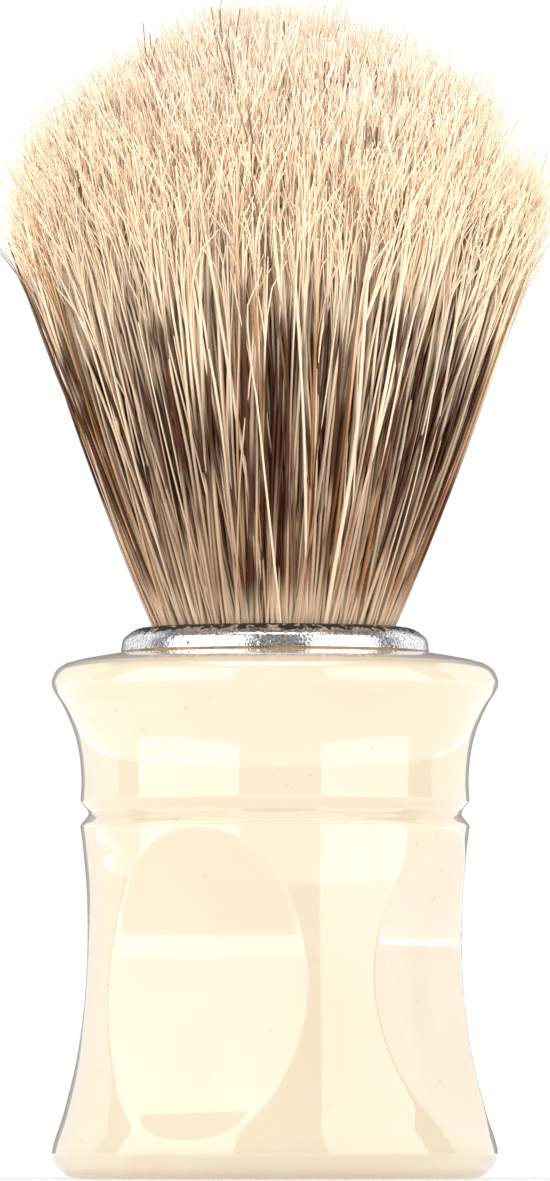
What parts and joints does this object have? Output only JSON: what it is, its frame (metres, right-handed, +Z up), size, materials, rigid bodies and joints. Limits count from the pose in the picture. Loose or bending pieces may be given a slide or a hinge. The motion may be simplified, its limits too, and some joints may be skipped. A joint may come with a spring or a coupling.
{
  "type": "shaving brush",
  "caption": "Shaving brush: fan-shaped bristle knot in a rounded aluminium collar, on a waisted resin handle with finger dimples.",
  "frame": {"origin": "centre of the foot, on the surface the brush stands on", "axes": "+Z up along the brush from foot to bristle tips, -Y to the front, +X to the right of the front view"},
  "size_m": [0.048, 0.048, 0.1053],
  "materials": {
    "ivory_resin": "polished cast resin, warm cream",
    "ballast_steel": "turned steel",
    "fibre_board": "pressed fibre shim",
    "cup_plastic": "moulded black plastic",
    "root_resin": "set amber resin with hair roots in it",
    "waxed_twine": "waxed linen twine",
    "amber_adhesive": "set adhesive, amber",
    "bright_aluminium": "bright, with fine dents",
    "banded_bristle": "natural bristle: grey-beige root, dark brown band, cream tip"
  },
  "bodies": {
    "handle": {"handle_body": "ivory_resin", "base_plug": "ivory_resin", "ballast_slug": "ballast_steel", "spacer_disc": "fibre_board", "knot_cup": "cup_plastic", "root_plug": "root_resin", "binding_twine": "waxed_twine", "socket_glue": "amber_adhesive", "ring_bedding": "amber_adhesive", "ferrule_ring": "bright_aluminium"},
    "knot": {"hair_core": "banded_bristle", "hair_inner": "banded_bristle", "hair_middle": "banded_bristle", "hair_outer": "banded_bristle"}
  },
  "joints": [
    {"name": "knot_bend", "type": "hinge", "parent": "handle", "child": "knot", "pos_m": [0, 0, 0.0495], "axis": [0, 1, 0], "range_deg": [-30, 30], "stiffness_Nm_per_rad": 0.1, "deforming": ["hair_core", "hair_inner", "hair_middle", "hair_outer"]}
  ]
}
